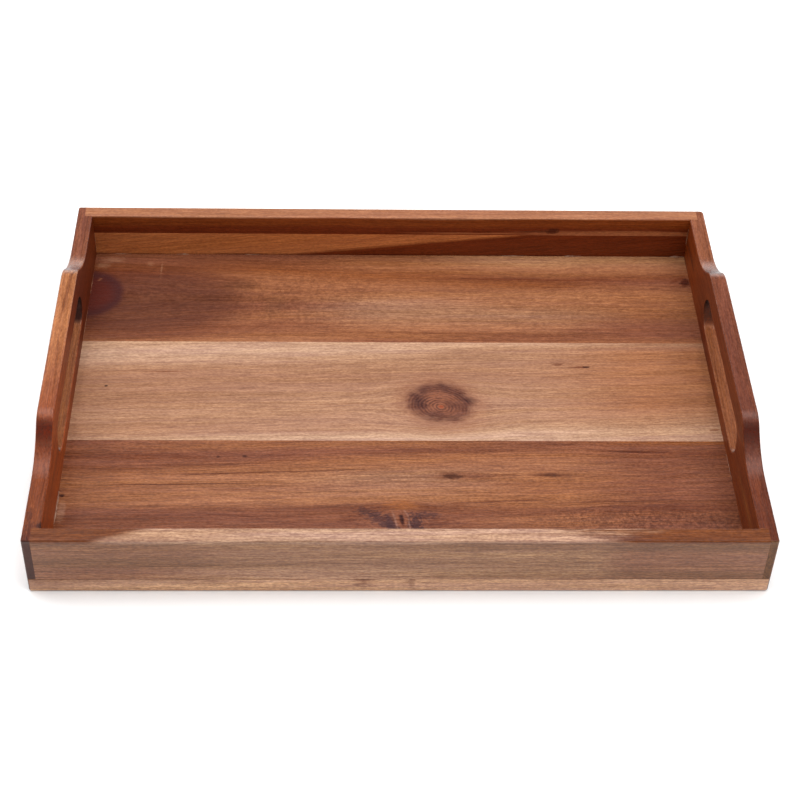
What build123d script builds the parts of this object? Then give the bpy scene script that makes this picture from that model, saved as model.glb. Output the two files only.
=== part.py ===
from build123d import *
from math import cos, radians, sin
import os

# Rectangular wooden serving tray, in millimetres. X is the long way, Y runs from the
# front rail to the back rail, and +Z is up. The origin is at the centre of the underside.

# Footprint and heights
tray_length = 420.0
tray_depth = 300.0
base_thickness = 10.0
wall_thickness = 10.0
rail_height = 42.0
grip_height = 57.0

# Raised grip on each side panel: flat crest, round shoulder, straight ramp, round foot
crest_length = 119.0
shoulder_radius = 19.0
foot_radius = 50.0
ramp_angle = 37.0

# Hand slot through each side panel
slot_length = 128.0
slot_height = 22.0
slot_centre_height = 30.5

# The side panels are rabbeted at both ends, which leaves a tongue over each rail's end
tongue_thickness = 5.0

# Glue lines: between the base boards, counted from the centre, and in the back rail
front_seam_y = -39.0
back_seam_y = 51.0
back_rail_seam_height = 28.0

# Sanding of the edges
top_ease = 1.0
slot_ease = 1.2
underside_ease = 1.0
seam_break = 0.25
corner_radius = 1.5
worn_corner_radius = 2.5

# Countersunk wood screws, 3 x 20 mm, driven up through the base
screw_length = 20.0
screw_head_radius = 3.0
screw_rim = 0.25
screw_shank_radius = 1.5
screw_core_radius = 1.05
screw_thread_pitch = 1.3
screw_thread_length = 13.0
screw_tip_length = 2.4
screw_recess = 0.4
screw_clearance = 0.05
cross_width = 0.8
cross_span = 3.0
cross_depth = 1.2
cross_taper = 12.0
countersink_angle = 90.0
pilot_spare_depth = 1.0
rail_screw_spacing = 155.0
side_screw_y = 105.0

# Worked out from the driving dimensions
inner_length = tray_length - 2 * wall_thickness
inner_depth = tray_depth - 2 * wall_thickness
rail_length = tray_length - 2 * tongue_thickness
wall_centre_x = (tray_length - wall_thickness) / 2
wall_centre_y = (tray_depth - wall_thickness) / 2
rabbet_width = wall_thickness - tongue_thickness
arcs_rise = (shoulder_radius + foot_radius) * (1 - cos(radians(ramp_angle)))
ramp_length = (grip_height - rail_height - arcs_rise) / sin(radians(ramp_angle))
pilot_radius = screw_shank_radius + screw_clearance
pilot_depth = screw_recess + screw_length - base_thickness + pilot_spare_depth
sink_radius = screw_head_radius + screw_rim + screw_recess + screw_clearance
tolerance = 0.01

screw_points = []
for side in (-1, 1):
    for step in (-1, 0, 1):
        screw_points.append((step * rail_screw_spacing, side * wall_centre_y))
    for end in (-1, 1):
        screw_points.append((side * wall_centre_x, end * side_screw_y))


# Footprint shared by the base and the frame, with its four upright corners rounded.
with BuildSketch() as footprint:
    Rectangle(tray_length, tray_depth)
    corners = vertices().sort_by(Axis.Y)
    back_corners = corners[2:].sort_by(Axis.X)
    fillet(back_corners[-1], radius=worn_corner_radius)
    plain_corners = vertices().filter_by(lambda corner: corner.X < 0 or corner.Y < 0)
    fillet(plain_corners, radius=corner_radius)


# The four walls as they are after glue-up. They are sanded together, so the edges are
# eased on the whole frame, and each wall is then taken out of it.
with BuildPart() as frame_blank:
    with BuildSketch(Plane.YZ):
        with BuildLine():
            crest = Line((0, grip_height), (crest_length / 2, grip_height))
            shoulder = JernArc(crest @ 1, crest % 1, shoulder_radius, -ramp_angle)
            ramp = Line(shoulder @ 1, shoulder @ 1 + ramp_length * (shoulder % 1))
            foot = JernArc(ramp @ 1, ramp % 1, foot_radius, ramp_angle)
            Polyline(
                foot @ 1,
                (tray_depth / 2, rail_height),
                (tray_depth / 2, base_thickness),
                (0, base_thickness),
            )
            mirror(about=Plane.YZ)
        make_face()
    extrude(amount=tray_length / 2, both=True)

    with BuildSketch(Plane.XY.offset(base_thickness)):
        add(footprint.sketch)
        Rectangle(inner_length, inner_depth, mode=Mode.SUBTRACT)
    extrude(amount=grip_height, mode=Mode.INTERSECT)

    top_edges = edges().filter_by(
        lambda edge: edge.bounding_box().min.Z > rail_height - tolerance
        and edge.length > wall_thickness + tolerance
    )
    fillet(top_edges, radius=top_ease)

    before_slots = edges()
    with BuildSketch(Plane.YZ):
        with Locations((0, slot_centre_height)):
            SlotOverall(slot_length, slot_height)
    extrude(amount=tray_length / 2, both=True, mode=Mode.SUBTRACT)
    slot_edges = (edges() - before_slots).filter_by(
        lambda edge: abs(edge.bounding_box().size.X) < tolerance
    )
    fillet(slot_edges, radius=slot_ease)

    frame_underside = faces().sort_by(Axis.Z)[0]
    chamfer(frame_underside.outer_wire().edges(), length=seam_break)
    with Locations(Plane(origin=(0, 0, base_thickness), z_dir=(0, 0, -1))):
        with Locations(*screw_points):
            Hole(radius=pilot_radius, depth=pilot_depth)


# The base panel, with a countersunk hole for each screw
with BuildPart() as base_blank:
    add(footprint.sketch)
    extrude(amount=base_thickness)
    chamfer(faces().sort_by(Axis.Z)[-1].outer_wire().edges(), length=seam_break)
    fillet(faces().sort_by(Axis.Z)[0].outer_wire().edges(), radius=underside_ease)
    with Locations(Plane(origin=(0, 0, 0), z_dir=(0, 0, -1))):
        with Locations(*screw_points):
            CounterSinkHole(
                radius=pilot_radius,
                counter_sink_radius=sink_radius,
                depth=base_thickness,
                counter_sink_angle=countersink_angle,
            )


# Base boards, edge-glued, with the grain along X
with BuildPart() as base_board_front:
    add(base_blank.part)
    split(bisect_by=Plane.XZ.offset(-front_seam_y), keep=Keep.TOP)

with BuildPart() as base_board_middle:
    add(base_blank.part)
    split(bisect_by=Plane.XZ.offset(-front_seam_y), keep=Keep.BOTTOM)
    split(bisect_by=Plane.XZ.offset(-back_seam_y), keep=Keep.TOP)

with BuildPart() as base_board_back:
    add(base_blank.part)
    split(bisect_by=Plane.XZ.offset(-back_seam_y), keep=Keep.BOTTOM)


# Rails, whose ends sit in the side panels' rabbets. The back rail is two strips.
with BuildPart() as front_rail:
    add(frame_blank.part)
    with Locations((0, -wall_centre_y, grip_height / 2)):
        Box(rail_length, wall_thickness, grip_height, mode=Mode.INTERSECT)

with BuildPart() as back_rail_lower:
    add(frame_blank.part)
    with Locations((0, wall_centre_y, back_rail_seam_height / 2)):
        Box(rail_length, wall_thickness, back_rail_seam_height, mode=Mode.INTERSECT)

with BuildPart() as back_rail_upper:
    add(frame_blank.part)
    with Locations((0, wall_centre_y, back_rail_seam_height + grip_height / 2)):
        Box(rail_length, wall_thickness, grip_height, mode=Mode.INTERSECT)


# Side panels, with the grain along Y
with BuildSketch() as side_plan:
    with Locations((wall_centre_x, 0)):
        Rectangle(wall_thickness, tray_depth)
    rabbet_x = inner_length / 2 + rabbet_width / 2
    with Locations((rabbet_x, -wall_centre_y), (rabbet_x, wall_centre_y)):
        Rectangle(rabbet_width, wall_thickness, mode=Mode.SUBTRACT)

with BuildPart() as right_side_panel:
    add(frame_blank.part)
    with BuildSketch():
        add(side_plan.sketch)
    extrude(amount=grip_height, mode=Mode.INTERSECT)

with BuildPart() as left_side_panel:
    add(frame_blank.part)
    with BuildSketch():
        mirror(side_plan.sketch, about=Plane.YZ)
    extrude(amount=grip_height, mode=Mode.INTERSECT)


# One wood screw, standing on its flat head, with the thread drawn as plain rings
shank_start = screw_recess + screw_rim + screw_head_radius - screw_shank_radius
tip_height = screw_recess + screw_length
thread_start = tip_height - screw_thread_length
thread_count = int((screw_thread_length - screw_tip_length) / screw_thread_pitch)
screw_outline = [
    (0, screw_recess),
    (screw_head_radius, screw_recess),
    (screw_head_radius, screw_recess + screw_rim),
    (screw_shank_radius, shank_start),
    (screw_shank_radius, thread_start),
]
for ring in range(thread_count):
    root_height = thread_start + ring * screw_thread_pitch
    screw_outline.append((screw_core_radius, root_height + screw_thread_pitch / 3))
    screw_outline.append((screw_core_radius, root_height + screw_thread_pitch * 2 / 3))
    screw_outline.append((screw_shank_radius, root_height + screw_thread_pitch))
screw_outline.append((screw_core_radius, tip_height - screw_tip_length))
screw_outline.append((0, tip_height))

with BuildPart() as wood_screw:
    with BuildSketch(Plane.XZ):
        with BuildLine():
            Polyline(*screw_outline, close=True)
        make_face()
    revolve(axis=Axis.Z)
    with BuildSketch(Plane.XY.offset(screw_recess)):
        Rectangle(cross_span, cross_width)
        Rectangle(cross_width, cross_span)
    extrude(amount=cross_depth, taper=cross_taper, mode=Mode.SUBTRACT)

with BuildPart() as base_screws:
    with Locations(*screw_points):
        add(wood_screw.part)


# Labels and files
pieces = {
    "base_board_front": base_board_front,
    "base_board_middle": base_board_middle,
    "base_board_back": base_board_back,
    "front_rail": front_rail,
    "back_rail_lower": back_rail_lower,
    "back_rail_upper": back_rail_upper,
    "left_side_panel": left_side_panel,
    "right_side_panel": right_side_panel,
    "base_screws": base_screws,
}
os.makedirs("parts", exist_ok=True)
for name, piece in pieces.items():
    piece.part.label = name
    export_step(piece.part, f"parts/{name}.step")
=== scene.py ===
"""Looks of the wooden serving tray: oiled acacia on the CAD nodes, dried glue, studio and camera."""
import math
import random
from collections import namedtuple

import bpy
from mathutils import Matrix, Vector


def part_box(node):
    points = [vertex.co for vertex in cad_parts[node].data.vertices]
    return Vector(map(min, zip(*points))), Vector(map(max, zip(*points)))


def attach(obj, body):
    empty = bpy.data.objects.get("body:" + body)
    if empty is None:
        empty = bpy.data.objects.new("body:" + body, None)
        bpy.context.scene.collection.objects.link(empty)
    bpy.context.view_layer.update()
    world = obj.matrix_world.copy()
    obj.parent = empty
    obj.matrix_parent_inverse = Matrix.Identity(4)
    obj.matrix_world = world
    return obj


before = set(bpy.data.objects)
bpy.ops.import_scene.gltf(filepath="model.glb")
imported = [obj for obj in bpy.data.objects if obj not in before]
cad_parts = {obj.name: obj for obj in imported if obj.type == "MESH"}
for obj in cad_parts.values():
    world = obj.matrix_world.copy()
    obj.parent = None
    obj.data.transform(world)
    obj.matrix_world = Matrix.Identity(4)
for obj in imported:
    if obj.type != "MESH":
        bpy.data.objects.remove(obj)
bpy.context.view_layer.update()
scene = bpy.context.scene
MM = 0.001              # one millimetre in Blender's metres


# ---------------------------------------------------------------- places, from the frame

def corners(node):
    """A node's lowest and highest corners, in millimetres."""
    return [[round(value / MM, 3) for value in corner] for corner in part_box(node)]


base_top = corners("base_board_middle")[1][2]
rail_low, rail_high = corners("front_rail")
front_face, rail_top = rail_low[1], rail_high[2]
inner_back = corners("back_rail_lower")[0][1]
inner_left = corners("left_side_panel")[1][0]
inner_right = corners("right_side_panel")[0][0]


# ---------------------------------------------------------------- tones

# The linear brightness that a white surface would have in the studio's light
TOP_LIGHT = 1.25        # facing up
FACE_LIGHT = 0.75       # on the outer face of the front rail
WALL_LIGHT = 0.50       # on the inner face of the back rail
VEIL = 0.008            # what the oil's gloss adds to it


def linear(value):
    """A display value from 0 to 255, as linear light from 0 to 1. This is sRGB's own curve."""
    share = value / 255
    return share / 12.92 if share <= 0.04045 else ((share + 0.055) / 1.055) ** 2.4


def tone(red, green, blue, light=TOP_LIGHT):
    """The albedo that looks like this colour, given as 0 to 255 display values, in that much light.

    The veil of gloss is taken off first, but never more than half of a dark colour.
    """
    seen = [linear(value) for value in (red, green, blue)]
    return (*(max(value - VEIL, 0.5 * value) / light for value in seen), 1.0)


PALE = tone(213, 172, 144)
CREAM = tone(205, 161, 130)
SAND = tone(190, 143, 112)
CLAY = tone(182, 133, 102)
TAN = tone(178, 120, 84)
ORANGE = tone(168, 109, 73)
HONEY = tone(198, 144, 104)
AMBER = tone(154, 92, 54)
BROWN = tone(148, 92, 67)
RUST = tone(138, 82, 56)
RED = tone(122, 66, 44)
UMBER = tone(112, 62, 46)
PLUM = tone(88, 44, 34)
INK = tone(62, 34, 32)
DULL = tone(132, 76, 44)
SMOKE = tone(84, 55, 55)
EDGE = tone(191, 150, 118, FACE_LIGHT)

# Tints that a board's own colour is multiplied by
WARM_SHADE = (0.60, 0.52, 0.48, 1.0)
ROSY_SHADE = (0.64, 0.57, 0.62, 1.0)
WARM_LIGHT = (1.14, 1.16, 1.14, 1.0)
ROSY_LIGHT = (1.12, 1.14, 1.16, 1.0)
DASH_SHADE = (0.60, 0.46, 0.44, 1.0)
LINE_SHADE = (0.62, 0.50, 0.46, 1.0)
RIPPLE_SHADE = (0.52, 0.46, 0.46, 1.0)
RIPPLE_LIGHT = (1.16, 1.18, 1.18, 1.0)
SPECK_SHADE = (0.62, 0.58, 0.58, 1.0)
SPECK_LIGHT = (1.20, 1.20, 1.20, 1.0)

# Albedos of the open vessels along the grain, and of the mottle and vessels in end grain
VESSEL = (0.08, 0.03, 0.015, 1.0)
END_MOTTLE = (0.045, 0.018, 0.012, 1.0)
END_VESSEL = (0.030, 0.014, 0.010, 1.0)


# ---------------------------------------------------------------- shader graph helpers

class Graph:
    """Short calls for the shader nodes of one material. A value is a number or another node's socket."""

    def __init__(self, name):
        self.material = bpy.data.materials.new(name)
        self.material.use_nodes = True
        self.tree = self.material.node_tree
        self.tree.nodes.clear()

    def node(self, kind, **settings):
        made = self.tree.nodes.new(kind)
        for key, value in settings.items():
            setattr(made, key, value)
        return made

    def put(self, socket, value):
        if isinstance(value, bpy.types.NodeSocket):
            self.tree.links.new(value, socket)
        else:
            socket.default_value = value

    def object_place(self):
        return self.node("ShaderNodeTexCoord").outputs["Object"]

    def parts(self, vector):
        """The outputs X, Y and Z of a vector."""
        split = self.node("ShaderNodeSeparateXYZ")
        self.put(split.inputs[0], vector)
        return split.outputs

    def math(self, operation, first, second=0.0):
        made = self.node("ShaderNodeMath", operation=operation)
        self.put(made.inputs[0], first)
        self.put(made.inputs[1], second)
        return made.outputs[0]

    def add(self, first, second):
        return self.math("ADD", first, second)

    def multiply(self, first, second):
        return self.math("MULTIPLY", first, second)

    def absolute(self, value):
        return self.math("ABSOLUTE", value)

    def remap(self, value, low, high, to_low=0.0, to_high=1.0, smooth=True):
        """Takes low to to_low and high to to_high, and stays at those beyond them."""
        made = self.node("ShaderNodeMapRange")
        made.interpolation_type = "SMOOTHSTEP" if smooth else "LINEAR"
        for socket, amount in zip(made.inputs, (value, low, high, to_low, to_high)):
            self.put(socket, amount)
        return made.outputs[0]

    def mix(self, share, first, second, blend="MIX"):
        """Two colours mixed. A mix node's colour inputs are 6 and 7, and its colour output is 2."""
        made = self.node("ShaderNodeMix", data_type="RGBA", blend_type=blend)
        made.clamp_factor = True
        self.put(made.inputs[0], share)
        self.put(made.inputs[6], first)
        self.put(made.inputs[7], second)
        return made.outputs[2]

    def ramp(self, value, stops):
        """stops is a list of (position from 0 to 1, colour)."""
        made = self.node("ShaderNodeValToRGB")
        elements = made.color_ramp.elements
        while len(elements) < len(stops):
            elements.new(0.5)
        for element, (position, colour) in zip(elements, stops):
            element.position = position
            element.color = colour
        self.put(made.inputs[0], value)
        return made.outputs[0]

    def ramp_between(self, value, stops, low, high):
        """The same, but the value and the positions run from low to high."""
        position = self.remap(value, low, high, smooth=False)
        return self.ramp(position, [((at - low) / (high - low), colour) for at, colour in stops])

    def vector(self, x, y, z=0.0):
        made = self.node("ShaderNodeCombineXYZ")
        for socket, amount in zip(made.inputs, (x, y, z)):
            self.put(socket, amount)
        return made.outputs[0]

    def placed(self, vector, kind="POINT", location=(0, 0, 0), turn=0.0, scale=(1, 1, 1)):
        made = self.node("ShaderNodeMapping", vector_type=kind)
        self.put(made.inputs["Vector"], vector)
        made.inputs["Location"].default_value = location
        made.inputs["Rotation"].default_value = (0, 0, turn)
        made.inputs["Scale"].default_value = scale
        return made.outputs[0]

    def noise(self, vector, size, seed=0.0, detail=2.0, roughness=0.5, distortion=0.0):
        """Noise from 0 to 1, whose features are about size long along each axis."""
        scale = tuple(1 / amount for amount in size)
        shifted = self.placed(vector, location=(seed * 7.3, seed * 3.1, seed * 5.7), scale=scale)
        made = self.node("ShaderNodeTexNoise")
        self.put(made.inputs["Vector"], shifted)
        made.inputs["Scale"].default_value = 1.0
        made.inputs["Detail"].default_value = detail
        made.inputs["Roughness"].default_value = roughness
        made.inputs["Distortion"].default_value = distortion
        return made.outputs["Fac"]

    def sway(self, vector, size, seed, reach, detail=2.0):
        """The same noise, as a shift of about reach to either side."""
        return self.multiply(self.add(self.noise(vector, size, seed, detail), -0.5), reach * 3)

    def distance(self, vector, centre, radii, turn=0.0):
        """Distance from the centre of an ellipse, which is 1 on its outline. turn is in degrees."""
        inside = self.placed(vector, "TEXTURE", (*centre, 0), math.radians(turn), (*radii, 1))
        made = self.node("ShaderNodeVectorMath", operation="LENGTH")
        self.put(made.inputs[0], inside)
        return made.outputs["Value"]

    def finish(self, colour, roughness, height=None, bump=0.3, depth=0.06 * MM, **sockets):
        """The material, from a colour, a roughness and a height. sockets are the shader's other inputs."""
        shader = self.node("ShaderNodeBsdfPrincipled")
        self.put(shader.inputs["Base Color"], colour)
        self.put(shader.inputs["Roughness"], roughness)
        for name, value in sockets.items():
            shader.inputs[name.replace("_", " ")].default_value = value
        if height is not None:
            relief = self.node("ShaderNodeBump")
            relief.inputs["Strength"].default_value = bump
            relief.inputs["Distance"].default_value = depth
            self.put(relief.inputs["Height"], height)
            self.put(shader.inputs["Normal"], relief.outputs[0])
        output = self.node("ShaderNodeOutputMaterial")
        self.put(output.inputs["Surface"], shader.outputs[0])
        return self.material


# ---------------------------------------------------------------- acacia

# How a piece was cut: the axis along its fibres, the axis across the face that is seen most,
# the axis into that face, and the face's place on it in millimetres
Cut = namedtuple("Cut", "grain across depth face")
FLAT = Cut("X", "Y", "Z", base_top)
FRONT = Cut("X", "Z", "Y", front_face)
BACK = Cut("X", "Z", "Y", inner_back)
LEFT = Cut("Y", "Z", "X", inner_left)
RIGHT = Cut("Y", "Z", "X", inner_right)

# Heights and distances that tell a side panel's surfaces apart, in millimetres. Each pair is
# where an effect starts and where it is full.
# Where the painted shadow in the upper half of a slot's round ends starts and is full
SLOT_UPPER_HALF = (27, 35)
BEYOND_SLOT = (90, 110)
ABOVE_SLOT_FLOOR = (rail_top - 2, rail_top - 1)
BELOW_TOP_EDGE = (rail_top - 2, rail_top - 3)
WITHIN_SLOT = (rail_top - 1, rail_top - 4)
ON_SLOPE = (rail_top - 0.5, rail_top + 2)


class Acacia(Graph):
    """Oiled acacia, as a solid pattern in the tray's own frame, in millimetres.

    Its noises take their seeds from the piece's own seed, so no two pieces have the same grain.
    """

    def __init__(self, name, cut, seed, slant=0.6, rise=0.0, wander=5.0, swirls=()):
        """slant is how far the fibres' layers shift through the depth, rise is their climb along
        the grain, and wander is how unevenly they run, in millimetres. swirls are (along, across,
        length, width, push): the fibres swing round them.
        """
        super().__init__(name)
        self.seed = seed
        self.grain = cut.grain
        place = self.parts(self.object_place())
        axis = {key: self.multiply(place[key], 1 / MM) for key in "XYZ"}
        self.along, self.across = axis[cut.grain], axis[cut.across]
        self.depth = self.add(axis[cut.depth], -cut.face)
        self.block = self.vector(self.along, self.across, self.depth)
        self.flat = self.vector(self.along, self.across)

        layer = self.add(self.across, self.multiply(self.depth, slant))
        layer = self.add(layer, self.multiply(self.along, -rise))
        layer = self.add(layer, self.sway(self.block, (120, 50, 50), seed, wander * 0.5))
        layer = self.add(layer, self.sway(self.block, (24, 10, 10), seed + 1, wander * 0.08, 1.0))
        for along, beside, length, width, push in swirls:
            reach = self.distance(self.flat, (along, beside), (length, width))
            swing = self.multiply(self.remap(reach, 1.0, 0.0), -push)
            layer = self.add(layer, self.multiply(swing, self.add(self.across, -beside)))
        self.wood = self.vector(self.along, layer, self.depth)
        self.sheet = self.vector(self.along, layer)
        self.layer = layer
        self.colour = None

    def blend(self, share, shade, kind="MIX"):
        """Lays a colour or a tint over the wood's colour, as strongly as share says."""
        self.colour = self.mix(share, self.colour, shade, kind)

    def facing(self, axis):
        """How far the surface looks along an axis, from -1 to 1."""
        return self.parts(self.node("ShaderNodeNewGeometry").outputs["Normal"])[axis]

    def zones(self, columns, fray=8.0, skew=0.0):
        """Colour bands across the piece, which change along it.

        columns is a list of (place along the grain, [(place across, colour), ...]), fray is how
        uneven their meeting is, and skew is how far it leans through the depth.
        """
        low = min(place for _, stops in columns for place, _ in stops)
        high = max(place for _, stops in columns for place, _ in stops)
        ragged = self.sway(self.wood, (60, 3.0, 3.0), self.seed + 2, 0.7)
        across = self.add(self.layer, ragged)
        along = self.add(self.along, self.sway(self.wood, (30, 2.5, 2.5), self.seed + 3, fray))
        along = self.add(along, self.multiply(self.depth, -skew))
        self.colour = self.ramp_between(across, columns[0][1], low, high)
        for (before, _), (place, stops) in zip(columns, columns[1:]):
            self.blend(self.remap(along, before, place), self.ramp_between(across, stops, low, high))

    def patches(self, spots, fray=0.3):
        """Soft spots, streaks and gum lines that follow the fibres.

        spots is a list of (along, across, half length, half width, turn, colour, strength).
        """
        for place, beside, length, width, turn, shade, strength in spots:
            reach = self.distance(self.sheet, (place, beside), (length, width), turn)
            size = (max(length * 0.3, 2.0), 1.2, 1.2)
            reach = self.add(reach, self.sway(self.wood, size, self.seed + place * 0.1, fray))
            self.blend(self.remap(reach, 1.05, 0.35, 0.0, strength), shade)

    def fibres(self, contrast=1.0, bands=1.0):
        """Growth bands, streaks, short dashes and vessels, on top of the colour zones."""
        hue = self.remap(self.noise(self.wood, (140, 5, 5), self.seed + 9, 3.0), 0.38, 0.62)
        dark = self.mix(hue, WARM_SHADE, ROSY_SHADE)
        light = self.mix(hue, WARM_LIGHT, ROSY_LIGHT)
        # Size, detail, roughness, half range about the middle and strength, from coarse to fine
        layers = [
            ((330, 9, 9), 3.0, 0.55, 0.14, 0.26 * bands),
            ((90, 2.2, 2.2), 3.0, 0.65, 0.14, 0.34 * contrast),
            ((30, 1.1, 1.1), 2.0, 0.60, 0.12, 0.42 * contrast),
            ((9, 0.9, 0.9), 1.0, 0.50, 0.14, 0.40 * contrast),
        ]
        for order, (size, detail, roughness, spread, strength) in enumerate(layers):
            grain = self.noise(self.wood, size, self.seed + 4 + order, detail, roughness)
            tints = self.mix(self.remap(grain, 0.5 - spread, 0.5 + spread), dark, light)
            self.blend(strength, tints, "MULTIPLY")
        self.dash = self.noise(self.wood, (14, 0.9, 0.9), self.seed + 20, 2.0, 0.6)
        lines = self.remap(self.noise(self.wood, (60, 0.8, 0.8), self.seed + 21, 1.0), 0.60, 0.68)
        flecks = self.remap(self.noise(self.wood, (2.2, 0.9, 0.9), self.seed + 22, 1.0), 0.36, 0.64)
        self.blend(self.remap(self.dash, 0.58, 0.68, 0.0, 0.60 * contrast), DASH_SHADE, "MULTIPLY")
        self.blend(self.multiply(lines, 0.45 * contrast), LINE_SHADE, "MULTIPLY")
        self.blend(0.55 * contrast, self.mix(flecks, dark, light), "MULTIPLY")
        self.vessel = self.remap(self.noise(self.wood, (4.0, 0.4, 0.4), self.seed + 8, 1.0), 0.64, 0.76)
        self.blend(self.multiply(self.vessel, 0.40 * contrast), VESSEL)

    def curl(self, strength, centre, radii, size=(2.6, 6.0, 6.0)):
        """Ripples across the grain, strongest at the centre of an ellipse."""
        ripple = self.noise(self.wood, size, self.seed + 8, 2.0, 0.55, 0.8)
        reach = self.distance(self.flat, centre, radii)
        share = self.multiply(self.remap(reach, 1.0, 0.3), strength)
        self.blend(share, self.mix(self.remap(ripple, 0.34, 0.66), RIPPLE_SHADE, RIPPLE_LIGHT), "MULTIPLY")

    def knot(self, centre, radii, turn, heart, spacing, lobes=()):
        """A knot with growth rings spacing apart round its heart, and dark lobes in it.

        lobes is a list of (along, across, half length, half width, turn, strength).
        """
        core, rim, smoke = tone(150, 94, 70), tone(126, 80, 64), tone(92, 58, 52)
        ring, lobe, ember = tone(96, 58, 50), tone(68, 42, 42), tone(164, 82, 54)
        outline = self.add(self.distance(self.flat, centre, radii, turn),
                           self.sway(self.block, (14, 10, 10), self.seed + 10, 0.20))
        outline = self.add(outline, self.sway(self.wood, (5, 1.6, 1.6), self.seed + 16, 0.12))
        from_heart = self.distance(self.flat, heart, (radii[0] / radii[1], 1.0), turn)
        shaken = self.add(from_heart, self.sway(self.block, (9, 9, 9), self.seed + 12, 0.8))
        shaken = self.add(shaken, self.sway(self.block, (3, 3, 3), self.seed + 17, 0.3))
        rings = self.remap(self.math("SINE", self.multiply(shaken, 2 * math.pi / spacing)), -0.9, 0.9)
        clear = self.remap(self.noise(self.block, (7, 7, 7), self.seed + 18, 2.0), 0.42, 0.60, 0.25, 0.85)
        inside = self.mix(self.remap(outline, 0.2, 0.9), core, rim)
        cloud = self.noise(self.block, (10, 7, 7), self.seed + 19, 3.0)
        inside = self.mix(self.remap(cloud, 0.42, 0.62, 0.0, 0.6), inside, smoke)
        inside = self.mix(self.multiply(rings, clear), inside, ring)
        for place, beside, length, width, lobe_turn, strength in lobes:
            near = self.distance(self.flat, (place, beside), (length, width), lobe_turn)
            near = self.add(near, self.sway(self.block, (5, 3, 3), self.seed + 13, 0.30))
            share = self.multiply(self.remap(near, 1.2, 0.1, 0.0, strength),
                                  self.remap(rings, 0.0, 1.0, 0.65, 1.0))
            inside = self.mix(share, inside, lobe)
        inside = self.mix(self.remap(from_heart, 1.9, 0.6, 0.0, 0.9), inside, ember)
        specks = self.remap(self.noise(self.block, (1.8, 1.4, 1.4), self.seed + 23, 2.0), 0.35, 0.65)
        inside = self.mix(0.45, inside, self.mix(specks, SPECK_SHADE, SPECK_LIGHT), "MULTIPLY")
        self.blend(self.remap(outline, 1.6, 0.9, 0.0, 0.40), core)
        self.blend(self.remap(outline, 1.15, 0.70, 0.0, 0.97), inside)

    def upward(self, stops, lit_slot_floor, steep=0.5):
        """Tones of a side panel's upward faces: along its top edge, and on the floor of its slot, which is
        painted lighter for the light that falls on it.

        stops is a list of (place along the grain, colour), and steep is how far up a face has to
        look before the slot's floor starts.
        """
        up = self.facing("Z")
        along = self.add(self.along, self.sway(self.wood, (30, 2.5, 2.5), self.seed + 24, 5.0))
        shades = self.ramp_between(along, stops, stops[0][0], stops[-1][0])
        top_edge = self.multiply(self.remap(up, 0.4, 0.7), self.remap(self.across, *ABOVE_SLOT_FLOOR))
        self.blend(top_edge, shades)
        # Painted light: the slot's floor, which looks up, is made lighter for the light falling on it
        below = self.remap(self.across, *BELOW_TOP_EDGE)
        self.blend(self.multiply(self.remap(up, steep, steep + 0.25), below), lit_slot_floor)

    def ends(self, tongue, slope, slot_top_shadow, slot_low):
        """A side panel's end grain: on its tongues, its slopes, and the round ends of its slot, whose upper
        half is painted darker as the shadow under the slot's roof.
        """
        # The slot's round ends: painted shadow in their upper half, under the slot's roof, and plain end
        # grain below
        in_slot = self.mix(self.remap(self.across, *SLOT_UPPER_HALF), slot_low, slot_top_shadow)
        low_grain = self.mix(self.remap(self.absolute(self.along), *BEYOND_SLOT), in_slot, tongue)
        return self.mix(self.remap(self.across, *ON_SLOPE), low_grain, slope)

    def joint_line(self, place, width, shade, strength):
        """A thin, broken dark line where the piece meets another one at its lower edge: glue, and painted
        shadow in the corner.
        """
        broken = self.remap(self.noise(self.block, (40, 8, 8), self.seed + 25, 3.0), 0.35, 0.60, 0.35, 1.0)
        share = self.remap(self.across, place + width, place + width * 0.4, 0.0, strength)
        self.blend(self.multiply(share, broken), shade)

    def oiled(self, end_tone, gloss=0.27, dull=0.0):
        """The finished material. End grain drinks more oil, so it is darker and its vessels are dots.

        gloss is the roughness of the smooth grain, and dull is how much rougher the faces that
        look along X are, and the ends of a slot.
        """
        end_share = self.remap(self.absolute(self.facing(self.grain)), 0.22, 0.62)
        mottle = self.remap(self.noise(self.block, (9, 2.6, 2.6), self.seed + 14, 3.0), 0.35, 0.65)
        dots = self.remap(self.noise(self.block, (1.1, 0.8, 0.8), self.seed + 11, 2.0, 0.7), 0.45, 0.62)
        end_grain = self.mix(self.multiply(mottle, 0.45), end_tone, END_MOTTLE)
        end_grain = self.mix(self.multiply(dots, 0.55), end_grain, END_VESSEL)
        self.blend(end_share, end_grain)
        roughness = self.remap(self.dash, 0.3, 0.7, gloss - 0.05, gloss + 0.07, smooth=False)
        roughness = self.add(roughness, self.multiply(end_share, 0.04))
        if dull:
            sideways = self.remap(self.absolute(self.facing("X")), 0.6, 0.95)
            slot_end = self.multiply(end_share, self.remap(self.across, *WITHIN_SLOT))
            roughness = self.add(roughness, self.multiply(self.add(sideways, slot_end), dull))
        height = self.add(self.multiply(self.dash, -0.5), self.multiply(self.vessel, -1.0))
        return self.finish(self.colour, roughness, height, Specular_IOR_Level=0.3)


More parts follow.
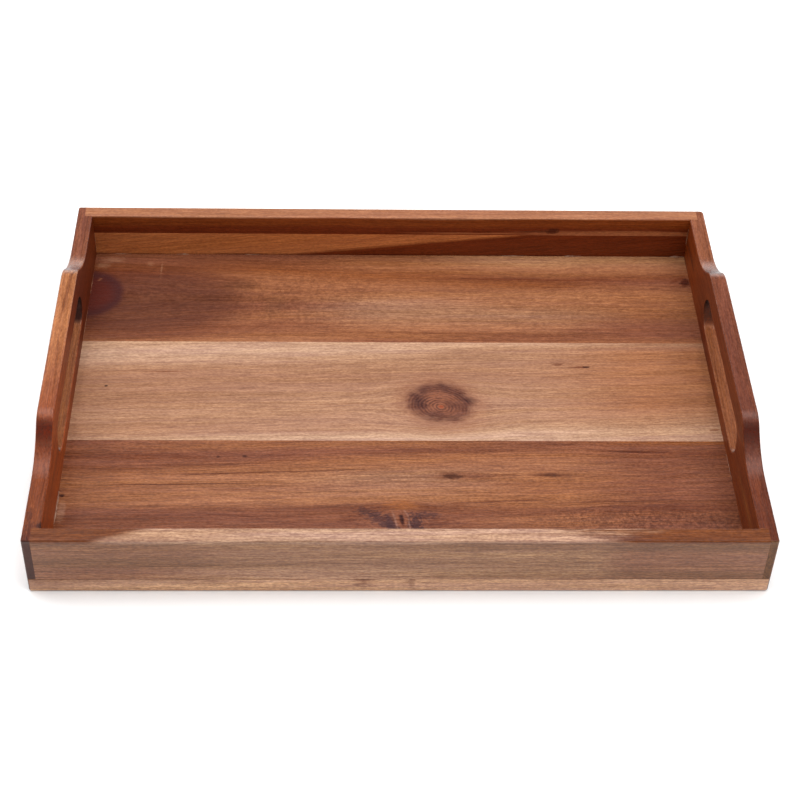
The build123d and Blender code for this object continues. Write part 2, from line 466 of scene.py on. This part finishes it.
def front_board():
    """Red-brown, with a row of gum specks, curly grain at its front right, and half a knot."""
    glow, pale_line = tone(180, 112, 64), tone(168, 122, 102)
    wood = Acacia("acacia_front_board", FLAT, 1.0, rise=0.018,
                  swirls=[(0, -105, 34, 20, 0.55), (32, -68, 34, 7, 0.35)])
    wood.zones([
        (-190, [(-151, EDGE), (-146, CLAY), (-136, RUST), (-103, RUST), (-95, BROWN), (-89, ORANGE),
                (-66, ORANGE), (-59, RUST), (-53, BROWN), (-48, RUST), (-42, BROWN)]),
        (-90, [(-151, EDGE), (-146, SAND), (-136, BROWN), (-103, BROWN), (-95, BROWN), (-88, TAN),
               (-66, TAN), (-60, ORANGE), (-54, BROWN), (-47, BROWN), (-42, ORANGE)]),
        (0, [(-151, EDGE), (-146, SAND), (-136, BROWN), (-103, BROWN), (-95, RUST), (-88, TAN),
             (-70, CLAY), (-62, TAN), (-56, ORANGE), (-48, BROWN), (-42, ORANGE)]),
        (90, [(-151, EDGE), (-146, SAND), (-136, BROWN), (-106, ORANGE), (-100, BROWN), (-92, ORANGE),
              (-76, ORANGE), (-62, TAN), (-55, ORANGE), (-48, BROWN), (-42, BROWN)]),
        (160, [(-151, EDGE), (-146, SAND), (-136, BROWN), (-106, BROWN), (-100, RUST), (-88, BROWN),
               (-70, BROWN), (-60, BROWN), (-52, RUST), (-46, BROWN), (-42, AMBER)]),
    ])
    wood.curl(0.8, (150, -104), (110, 13), (1.8, 2.6, 2.6))
    # Streaks, gum specks, the glow behind the knot, stains on the front edge, and a smear of glue
    wood.patches([
        (-76, -64, 92, 0.8, 0.4, UMBER, 0.75),
        (-130, -73, 56, 0.8, 0, UMBER, 0.70),
        (-160, -50, 60, 3.0, 0, RED, 0.45),
        (-120, -57, 60, 1.6, 0, UMBER, 0.40),
        (20, -50, 70, 2.0, 0, UMBER, 0.35),
        (40, -70.5, 34, 3.2, 0, RUST, 0.65),
        (33, -71, 9, 1.8, 0, INK, 0.65),
        (92, -70, 17, 2.4, 0, UMBER, 0.55),
        (92, -70, 7, 1.8, 0, INK, 0.45),
        (146, -50, 26, 1.2, -2, PLUM, 0.80),
        (185, -52, 22, 1.6, -2, UMBER, 0.60),
        (60, -90, 42, 0.9, 2, UMBER, 0.70),
        (-110, -99, 80, 1.6, 0, UMBER, 0.35),
        (-40, -93, 40, 1.6, 0, UMBER, 0.40),
        (150, -97, 60, 2.2, 0, UMBER, 0.40),
        (-108, -50, 1.5, 1.3, 0, INK, 0.60),
        (-92, -50, 2.4, 1.7, 0, INK, 0.80),
        (-198, -82, 2.4, 1.6, 0, INK, 0.90),
        (2, -94, 14, 6.5, 0, glow, 0.85),
        (-22, -145, 9, 10, 0, BROWN, 0.75),
        (6, -145, 3, 12, 0, BROWN, 0.60),
        (-197, -95, 3.4, 11, 0, SAND, 0.65),
    ])
    # The knot's dark, ragged surround
    wood.patches([
        (-12, -104, 11, 5, -25, SMOKE, 0.80),
        (-20, -98, 8, 3.5, -30, SMOKE, 0.65),
        (-28, -104, 10, 5, 0, UMBER, 0.50),
        (9, -108, 6, 8, 15, SMOKE, 0.90),
        (16, -102, 9, 3.5, 5, SMOKE, 0.70),
        (24, -107, 12, 5, 0, UMBER, 0.55),
        (0, -112, 12, 3, 0, SMOKE, 0.85),
    ], fray=0.9)
    # The knot's own lens, between pale lines, with its dark heart
    wood.patches([
        (-5, -108, 4, 7, 20, SMOKE, 0.90),
        (1.6, -106, 8.5, 3.4, -72, BROWN, 0.95),
        (-2.4, -105.5, 7.5, 0.8, -70, pale_line, 0.60),
        (4.0, -101.5, 4.2, 0.8, -60, pale_line, 0.60),
        (5.8, -108, 4.8, 0.8, -82, pale_line, 0.60),
        (1.2, -105, 4.2, 1.9, -74, RED, 0.85),
        (1.4, -105, 3.2, 1.5, -74, INK, 0.90),
    ], fray=0.15)
    wood.fibres(contrast=1.0)
    return wood.oiled(tone(120, 76, 52))


def middle_board():
    """The palest board, creamy along both edges, with the large ringed knot."""
    wood = Acacia("acacia_middle_board", FLAT, 2.0, rise=0.030, wander=2.5,
                  swirls=[(28, -8, 62, 34, 0.75)])
    wood.zones([
        (-170, [(-45, CREAM), (-33, CREAM), (-30, SAND), (-24, CLAY), (-12, SAND), (0, CLAY), (24, CLAY),
                (29, CLAY), (37, CREAM), (42, PALE), (57, CREAM)]),
        (-40, [(-45, PALE), (-34, PALE), (-29, SAND), (-20, SAND), (0, SAND), (20, CLAY),
               (32, SAND), (39, CREAM), (44, PALE), (57, CREAM)]),
        (70, [(-45, PALE), (-34, PALE), (-29, CREAM), (-24, SAND), (0, SAND), (20, CLAY),
              (36, SAND), (42, SAND), (47, CREAM), (57, CREAM)]),
        (170, [(-45, CREAM), (-35, CREAM), (-30, SAND), (-26, CLAY), (-12, TAN), (10, TAN), (20, TAN),
               (38, TAN), (44, CLAY), (47, SAND), (57, SAND)]),
    ])
    wood.curl(0.14, (0, 0), (230, 60), (7, 3, 3))
    wood.patches([
        (104, 28, 5, 1.5, 0, UMBER, 0.75),
        (118, 25, 10, 1.1, 0, RED, 0.85),
        (122, 25, 3, 1.3, 0, INK, 0.85),
        (-146, 27, 16, 0.7, 0, BROWN, 0.70),
        (-40, -5, 55, 0.6, 0, RUST, 0.35),
        (-181, 15, 1.4, 1.2, 0, INK, 0.90),
        (196, -35, 5, 1.0, 0, BROWN, 0.80),
        (-20, -24, 30, 1.2, 2, CLAY, 0.50),
        (70, -12, 40, 1.0, 0, CLAY, 0.50),
        (197, 22, 24, 22, 0, ORANGE, 0.60),
    ])
    wood.fibres(contrast=0.72, bands=0.7)
    wood.knot(centre=(28, -6), radii=(23, 18.5), turn=-20, heart=(28, -9), spacing=1.8, lobes=[
        (15, -5, 7, 8, 30, 0.95),
        (36, 4, 14, 4.5, -36, 0.65),
        (45, -3, 6, 4, -30, 0.90),
        (28, -19, 13, 3.5, -8, 0.55),
        (20, 6, 8, 5, 30, 0.40),
    ])
    return wood.oiled(tone(150, 100, 74))


def back_board():
    """Brown, with a dark cloud and a plum-red knot at its left end."""
    cloud, cloud_edge, olive = tone(118, 72, 54), tone(100, 62, 42), tone(120, 84, 58)
    knot_rim, knot_core = tone(78, 44, 44), tone(98, 46, 38)
    wood = Acacia("acacia_back_board", FLAT, 3.0, rise=0.0, wander=4.0,
                  swirls=[(-200, 97, 170, 52, 0.70), (198, 112, 26, 14, 0.50)])
    wood.zones([
        (-150, [(51, ORANGE), (58, BROWN), (66, RUST), (78, UMBER), (100, UMBER), (112, RED),
                (120, RUST), (126, BROWN), (134, BROWN), (152, RUST)]),
        (-80, [(51, TAN), (58, ORANGE), (66, BROWN), (78, ORANGE), (88, BROWN), (104, ORANGE),
               (114, ORANGE), (122, AMBER), (134, BROWN), (152, RUST)]),
        (0, [(51, BROWN), (58, ORANGE), (66, TAN), (78, CLAY), (88, CLAY), (98, TAN),
             (108, ORANGE), (118, AMBER), (126, ORANGE), (134, ORANGE), (152, RUST)]),
        (90, [(51, ORANGE), (58, BROWN), (66, TAN), (78, CLAY), (90, TAN), (100, TAN),
              (109, AMBER), (116, RUST), (120, ORANGE), (127, TAN), (132, HONEY), (137, HONEY), (152, TAN)]),
        (170, [(51, ORANGE), (58, BROWN), (68, BROWN), (78, ORANGE), (90, ORANGE), (104, ORANGE),
               (111, BROWN), (116, RUST), (121, ORANGE), (128, TAN), (136, HONEY), (152, TAN)]),
    ], fray=12.0)
    wood.patches([(-150, 90, 64, 36, 8, cloud, 0.90)], fray=0.12)
    wood.curl(0.40, (-60, 95), (90, 50), (3.0, 4.0, 4.0))
    wood.curl(0.22, (110, 90), (130, 50), (4.0, 5.0, 5.0))
    wood.patches([
        (90, 115, 96, 1.0, 0, RED, 0.80),
        (150, 118, 50, 2.2, 0, RUST, 0.60),
        (40, 119, 60, 2.0, 0, RUST, 0.50),
        (100, 54, 110, 1.0, 0, RUST, 0.60),
        (20, 61, 90, 1.4, 0, RUST, 0.55),
        (150, 64, 60, 1.6, 0, RUST, 0.50),
        (110, 107, 22, 0.7, 0, RED, 0.80),
        (40, 94, 12, 0.6, 0, RED, 0.60),
        (-60, 70, 50, 1.2, 0, RUST, 0.45),
        (197, 112, 5.0, 3.5, 0, PLUM, 0.90),
        (192, 114, 8, 2, 20, RED, 0.70),
        (185, 118, 10, 5, 0, RUST, 0.50),
        (-100, 106, 14, 7, 0, cloud_edge, 0.30),
        (-78, 88, 10, 14, 0, olive, 0.25),
    ])
    wood.fibres(contrast=0.8)
    outline = wood.add(wood.distance(wood.flat, (-201, 98), (22, 23), -20),
                       wood.sway(wood.block, (14, 14, 14), wood.seed + 15, 0.06))
    wood.blend(wood.remap(outline, 1.15, 0.88, 0.0, 0.88), knot_rim)
    wood.blend(wood.remap(outline, 0.90, 0.50, 0.0, 0.80), knot_core)
    # Pale scuffs and dried smears in the left corner
    wood.patches([
        (-188, 128, 9, 5, 0, SAND, 0.28),
        (-194, 120, 5, 5, 0, SAND, 0.25),
        (-163, 124, 3, 4, 0, CLAY, 0.25),
        (-155, 118, 0.7, 10, 0, CLAY, 0.30),
        (-195, 104, 1.6, 1.4, 0, BROWN, 0.60),
    ], fray=0.8)
    return wood.oiled(tone(110, 66, 44))


def front_rail():
    """Grey-brown outer face. The top is cream between two brown ends."""
    face = tone(142, 105, 78, FACE_LIGHT)
    end_face = tone(136, 94, 70, FACE_LIGHT)
    mid_face = tone(154, 117, 88, FACE_LIGHT)
    light_face = tone(168, 130, 100, FACE_LIGHT)
    dark_face = tone(118, 82, 58, FACE_LIGHT)
    wood = Acacia("acacia_front_rail", FRONT, 4.0, slant=0.1, wander=1.5)
    wood.zones([
        (-176, [(6, end_face), (16, end_face), (25, dark_face), (33, end_face), (39, dark_face),
                (41, DULL), (46, DULL)]),
        (-160, [(6, end_face), (16, end_face), (25, dark_face), (33, end_face), (39, dark_face),
                (41.5, CREAM), (46, CREAM)]),
        (-60, [(6, light_face), (16, light_face), (24, face), (38, face), (41.5, PALE), (46, PALE)]),
        (104, [(6, light_face), (12, face), (18, mid_face), (24, face), (30, mid_face), (36, face),
               (40, dark_face), (41.5, CREAM), (46, PALE)]),
        (130, [(6, end_face), (14, dark_face), (20, end_face), (24, end_face), (31, end_face),
               (36, dark_face), (40, dark_face), (41.5, DULL), (46, DULL)]),
    ], fray=3.5, skew=2.7)
    wood.patches([
        (120, 36, 110, 1.4, 0, dark_face, 0.60),
        (-110, 22, 80, 2.0, 0, dark_face, 0.40),
        (40, 38, 110, 1.2, 0, dark_face, 0.50),
        (-150, 32, 60, 5.0, 0, dark_face, 0.40),
    ])
    wood.patches([
        (136, 44.0, 58, 1.7, 0, DULL, 0.90),
        (118, 42.6, 30, 0.5, -1, UMBER, 0.60),
    ], fray=0.7)
    wood.fibres(contrast=1.0, bands=0.9)
    return wood.oiled(tone(110, 72, 50))


def back_rail_lower():
    """Light at its left and dark at its right. The border slants, because the fibres rise."""
    lit, shaded = tone(150, 92, 55, WALL_LIGHT), tone(91, 43, 20, WALL_LIGHT)
    # The dark line at the foot of the wall is glue, and painted shadow in the corner between rail and base
    glue_and_shadow_line = tone(60, 24, 14, WALL_LIGHT)
    bands = [(-12, shaded), (17, shaded), (19.5, lit), (52, lit)]
    wood = Acacia("acacia_back_rail_lower", BACK, 5.0, slant=0.2, rise=0.115, wander=1.0)
    wood.zones([(0, bands)])
    wood.fibres(contrast=0.7, bands=0.6)
    wood.joint_line(base_top, 1.3, glue_and_shadow_line, 0.9)
    return wood.oiled(tone(80, 44, 30))


def back_rail_upper():
    """Dark red inside, with a small knot near its right end, and a lighter top."""
    lit, shaded = tone(132, 82, 54, WALL_LIGHT), tone(91, 43, 22, WALL_LIGHT)
    red = tone(106, 55, 28, WALL_LIGHT)
    top = tone(186, 126, 92)
    wood = Acacia("acacia_back_rail_upper", BACK, 6.0, slant=0.15, wander=1.2,
                  swirls=[(108, 31, 22, 5, 0.5)])
    wood.zones([
        (60, [(28, shaded), (33, shaded), (36, red), (40.5, red), (42, top), (44, top)]),
        (120, [(28, lit), (30.5, lit), (32, shaded), (36, red), (40.5, red), (42, top), (44, top)]),
    ])
    wood.fibres(contrast=0.7, bands=0.6)
    wood.patches([
        (108, 31.3, 6.0, 2.3, 0, PLUM, 0.90),
        (96, 31, 16, 0.9, 0, PLUM, 0.60),
        (50, 29.5, 46, 1.0, 0, lit, 0.60),
    ])
    return wood.oiled(tone(80, 44, 30))


def left_side():
    """Warm brown. Its top edge is dark at the front end and golden on the grip."""
    inner, shaded = tone(184, 88, 38), tone(138, 62, 26)
    # The slot's floor is painted lighter, for the light that falls on it
    lit_slot_floor = tone(158, 99, 64)
    wood = Acacia("acacia_left_side", LEFT, 7.0, slant=0.5, wander=2.0)
    wood.zones([
        (-60, [(10, inner), (60, inner)]),
        (60, [(10, shaded), (60, shaded)]),
    ], fray=12.0)
    wood.upward([
        (-150, tone(112, 54, 38)), (-138, tone(134, 72, 42)), (-100, tone(136, 70, 40)),
        (-58, tone(166, 94, 62)), (0, tone(196, 128, 84)), (60, tone(192, 126, 82)),
        (100, tone(150, 92, 68)), (150, tone(137, 82, 63)),
    ], lit_slot_floor, steep=0.7)
    wood.patches([
        (46, 54.5, 40, 0.8, 1.5, RED, 0.65),
        (-20, 55, 30, 0.7, -1, RED, 0.45),
        (-139, 42, 4, 1.8, 0, INK, 0.80),
        (-60, 30, 60, 2.5, 0, AMBER, 0.40),
        (60, 33, 40, 3.0, 0, PLUM, 0.35),
    ])
    # Scuffs on the front end of the top edge
    wood.patches([
        (-131, 38.4, 6, 1.0, 0, PLUM, 0.55),
        (-140, 39.2, 5, 1.6, 0, PLUM, 0.60),
        (-147, 38.2, 4, 2.4, 0, PLUM, 0.60),
        (-120, 40.5, 7, 0.8, 0, RED, 0.55),
    ], fray=1.0)
    wood.fibres(contrast=0.9)
    # The upper half of the slot's round ends is painted near black, as shadow under the slot's roof
    end_grain = wood.ends(tongue=tone(72, 45, 39, FACE_LIGHT), slope=tone(112, 44, 22),
                          slot_top_shadow=tone(40, 18, 12), slot_low=tone(70, 34, 20))
    return wood.oiled(end_grain, dull=0.25)


def right_side():
    """Red-brown, darkest at the front end of its top edge."""
    inner, shaded, deep = tone(156, 74, 28), tone(136, 60, 22), tone(168, 80, 34)
    # The slot's floor is painted lighter, for the light that falls on it; the streak is a real orange streak
    # in the wood
    lit_slot_floor, streak = tone(164, 101, 66), tone(176, 104, 54)
    wood = Acacia("acacia_right_side", RIGHT, 8.0, slant=0.5, wander=2.0)
    wood.zones([
        (-40, [(10, inner), (60, inner)]),
        (60, [(10, shaded), (60, inner)]),
        (110, [(10, deep), (60, deep)]),
    ], fray=12.0)
    wood.upward([
        (-150, tone(112, 58, 40)), (-100, tone(122, 66, 46)), (-58, tone(130, 76, 58)),
        (20, tone(138, 82, 62)), (60, tone(146, 88, 66)), (100, tone(160, 100, 72)),
        (150, tone(159, 99, 73)),
    ], lit_slot_floor)
    wood.patches([
        (10, 54, 60, 1.0, 1, UMBER, 0.45),
        (-110, 40, 30, 1.2, 0, UMBER, 0.40),
        (-112, 27, 44, 4.0, 0, streak, 0.60),
        (120, 26, 22, 3.0, 0, PLUM, 0.45),
    ])
    wood.fibres(contrast=0.9)
    # The upper half of the slot's round ends is painted near black, as shadow under the slot's roof
    end_grain = wood.ends(tongue=tone(108, 72, 46, FACE_LIGHT), slope=tone(90, 38, 20),
                          slot_top_shadow=tone(42, 16, 8), slot_low=tone(120, 58, 28))
    return wood.oiled(end_grain, dull=0.25)


# ---------------------------------------------------------------- screws

def zinc_steel():
    """Zinc-plated steel, faintly clouded, with turning marks."""
    dark_zinc, light_zinc = (0.46, 0.45, 0.42, 1.0), (0.66, 0.65, 0.60, 1.0)
    g = Graph("screw_steel")
    place = g.object_place()
    turned = g.noise(place, (0.4 * MM, 0.4 * MM, 4 * MM), 1.0, 2.0)
    cloud = g.noise(place, (3 * MM, 3 * MM, 3 * MM), 2.0, 3.0)
    roughness = g.remap(turned, 0.3, 0.7, 0.28, 0.42, smooth=False)
    return g.finish(g.mix(cloud, dark_zinc, light_zinc), roughness, turned, 0.15, 0.02 * MM, Metallic=0.7)


MATERIALS = {
    "base_board_front": front_board,
    "base_board_middle": middle_board,
    "base_board_back": back_board,
    "front_rail": front_rail,
    "back_rail_lower": back_rail_lower,
    "back_rail_upper": back_rail_upper,
    "left_side_panel": left_side,
    "right_side_panel": right_side,
    "base_screws": zinc_steel,
}
for node_name, make_material in MATERIALS.items():
    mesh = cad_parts[node_name].data
    mesh.materials.clear()
    mesh.materials.append(make_material())


# ---------------------------------------------------------------- dried glue

BEAD_SPACING = 1.5      # between a bead's rings, in millimetres
BEAD_STEPS = 5          # sides of its rounded front
BEAD_SUNK = 0.15        # how far it reaches into the wood, so that no gap shows


def bead_ring(corner, side, other, radius):
    """One cross-section of a bead: its sunken corner, then its slightly hollow front."""
    ring = [corner]
    for step in range(BEAD_STEPS + 1):
        angle = math.pi / 2 * step / BEAD_STEPS
        reach = (radius + BEAD_SUNK) * (1 - 0.22 * math.sin(2 * angle))
        ring.append(corner + (side * math.cos(angle) + other * math.sin(angle)) * reach)
    return ring


def glue_bead(start, direction, length, side, other, size, dice, points, faces):
    """Adds one lumpy bead along a corner. side and other point out of it, along its two faces."""
    count = int(length / BEAD_SPACING) + 1
    around = BEAD_STEPS + 2
    thickness = size
    for order in range(count):
        share = order / (count - 1)
        thickness += (size * dice.uniform(0.5, 1.3) - thickness) * 0.5
        tapered = thickness * math.sin(math.pi * (0.04 + 0.92 * share)) ** 0.4
        corner = Vector(start) + direction * (length * share) - (side + other) * BEAD_SUNK
        first = len(points)
        points.extend(point * MM for point in bead_ring(corner, side, other, tapered))
        if order:
            before = first - around
            for step in range(around):
                after = (step + 1) % around
                faces.append((before + step, before + after, first + after, first + step))
        if order in (0, count - 1):
            faces.append(tuple(range(first, first + around)))


def glue_material():
    g = Graph("dried_glue")
    cloud = g.remap(g.noise(g.object_place(), (4 * MM, 4 * MM, 4 * MM), 3.0, 3.0), 0.35, 0.65)
    colour = g.mix(cloud, tone(132, 84, 62), tone(166, 124, 100))
    return g.finish(colour, 0.35, cloud, 0.2, 0.1 * MM)


def dried_glue():
    """Squeezed-out glue left in the corners of the tray."""
    up, left, right, forward = (Vector(v) for v in ((0, 0, 1), (-1, 0, 0), (1, 0, 0), (0, -1, 0)))
    # Start, direction, length, the two ways out of the corner, and thickness
    beads = [
        ((-190, inner_back, base_top), right, 14, forward, up, 0.40),
        ((-146, inner_back, base_top), right, 8, forward, up, 0.80),
        ((-100, inner_back, base_top), right, 12, forward, up, 0.35),
        ((74, inner_back, base_top), right, 17, forward, up, 0.60),
        ((118, inner_back, base_top), right, 12, forward, up, 0.85),
        ((190, inner_back, base_top), right, 10, forward, up, 0.90),
        ((inner_right, inner_back, 20), up, 14, left, forward, 0.60),
        ((inner_left, inner_back, 12), up, 16, right, forward, 0.35),
        ((inner_left, 120, base_top), forward, 22, right, up, 0.35),
        ((inner_left, 84, base_top), forward, 34, right, up, 0.30),
        ((inner_left, -82, base_top), forward, 26, right, up, 1.00),
        ((inner_right, -48, base_top), forward, 24, left, up, 0.40),
    ]
    dice = random.Random(11)
    points, faces = [], []
    for bead in beads:
        glue_bead(*bead, dice, points, faces)
    mesh = bpy.data.meshes.new("dried_glue")
    mesh.from_pydata(points, [], faces)
    mesh.validate()
    mesh.shade_smooth()
    mesh.materials.append(glue_material())
    piece = bpy.data.objects.new("dried_glue", mesh)
    scene.collection.objects.link(piece)
    bpy.context.view_layer.objects.active = piece
    piece.select_set(True)
    bpy.ops.object.mode_set(mode="EDIT")
    bpy.ops.mesh.select_all(action="SELECT")
    bpy.ops.mesh.normals_make_consistent(inside=False)
    bpy.ops.object.mode_set(mode="OBJECT")
    piece.select_set(False)
    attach(piece, "root")


dried_glue()


# ---------------------------------------------------------------- stage, light and camera

def floor():
    """A wide, pale floor just under the tray, because at 0 it would fight with the flat underside."""
    side, height = 6.0, -0.3 * MM
    outline = [(-side, -side, height), (side, -side, height), (side, side, height), (-side, side, height)]
    mesh = bpy.data.meshes.new("floor")
    mesh.from_pydata(outline, [], [(0, 1, 2, 3)])
    plane = bpy.data.objects.new("floor", mesh)
    scene.collection.objects.link(plane)
    g = Graph("pale_floor")
    cloud = g.noise(g.object_place(), (0.6, 0.6, 0.6), 1.0, 3.0)
    mesh.materials.append(g.finish(g.mix(cloud, (0.94, 0.94, 0.94, 1.0), (0.97, 0.97, 0.97, 1.0)), 0.7))


def area_light(name, place, target, size, power, lights, reflects):
    """A soft light. lights is whether it lights the scene, and reflects whether gloss shows it."""
    data = bpy.data.lights.new(name, "AREA")
    data.shape = "RECTANGLE"
    data.size, data.size_y = size
    data.energy = power
    light = bpy.data.objects.new(name, data)
    light.location = place
    light.rotation_mode = "QUATERNION"
    light.rotation_quaternion = (Vector(target) - Vector(place)).to_track_quat("-Z", "Y")
    light.visible_diffuse = lights
    light.visible_glossy = reflects
    scene.collection.objects.link(light)


def studio():
    """White light from all round and a key light above. Gloss shows only the softbox and the backdrop."""
    area_light("key", (0.1, 0.20, 2.2), (0, 0, 0), (4.4, 1.6), 79.0, lights=True, reflects=False)
    area_light("softbox", (0.1, 0.75, 1.95), (0, 0, 0), (4.4, 0.95), 34.0, lights=False, reflects=True)
    area_light("backdrop", (0, 3.0, 0.55), (0, 0, 0.55), (7.0, 1.1), 50.0, lights=False, reflects=True)
    world = bpy.data.worlds.new("studio")
    world.use_nodes = True
    background = world.node_tree.nodes["Background"]
    background.inputs["Color"].default_value = (1.0, 1.0, 1.0, 1.0)
    background.inputs["Strength"].default_value = 0.65
    world.cycles_visibility.glossy = False
    scene.world = world
    scene.view_settings.view_transform = "Standard"


def camera():
    """In front of the tray, looking down at it, and rolled a little, as the photo was taken."""
    place = Vector((-0.03413, -0.81684, 0.78309))
    yaw, pitch, roll = (math.radians(angle) for angle in (2.574, 43.501, 1.949))
    forward = Vector((math.sin(yaw) * math.cos(pitch), math.cos(yaw) * math.cos(pitch), -math.sin(pitch)))
    level_right = Vector((math.cos(yaw), -math.sin(yaw), 0))
    level_up = level_right.cross(forward)
    right = level_right * math.cos(roll) + level_up * math.sin(roll)
    up = level_up * math.cos(roll) - level_right * math.sin(roll)
    data = bpy.data.cameras.new("camera")
    data.sensor_width = 36.0
    data.lens = 81.07
    made = bpy.data.objects.new("camera", data)
    made.matrix_world = Matrix.Translation(place) @ Matrix((right, up, -forward)).transposed().to_4x4()
    scene.collection.objects.link(made)
    scene.camera = made


floor()
studio()
camera()
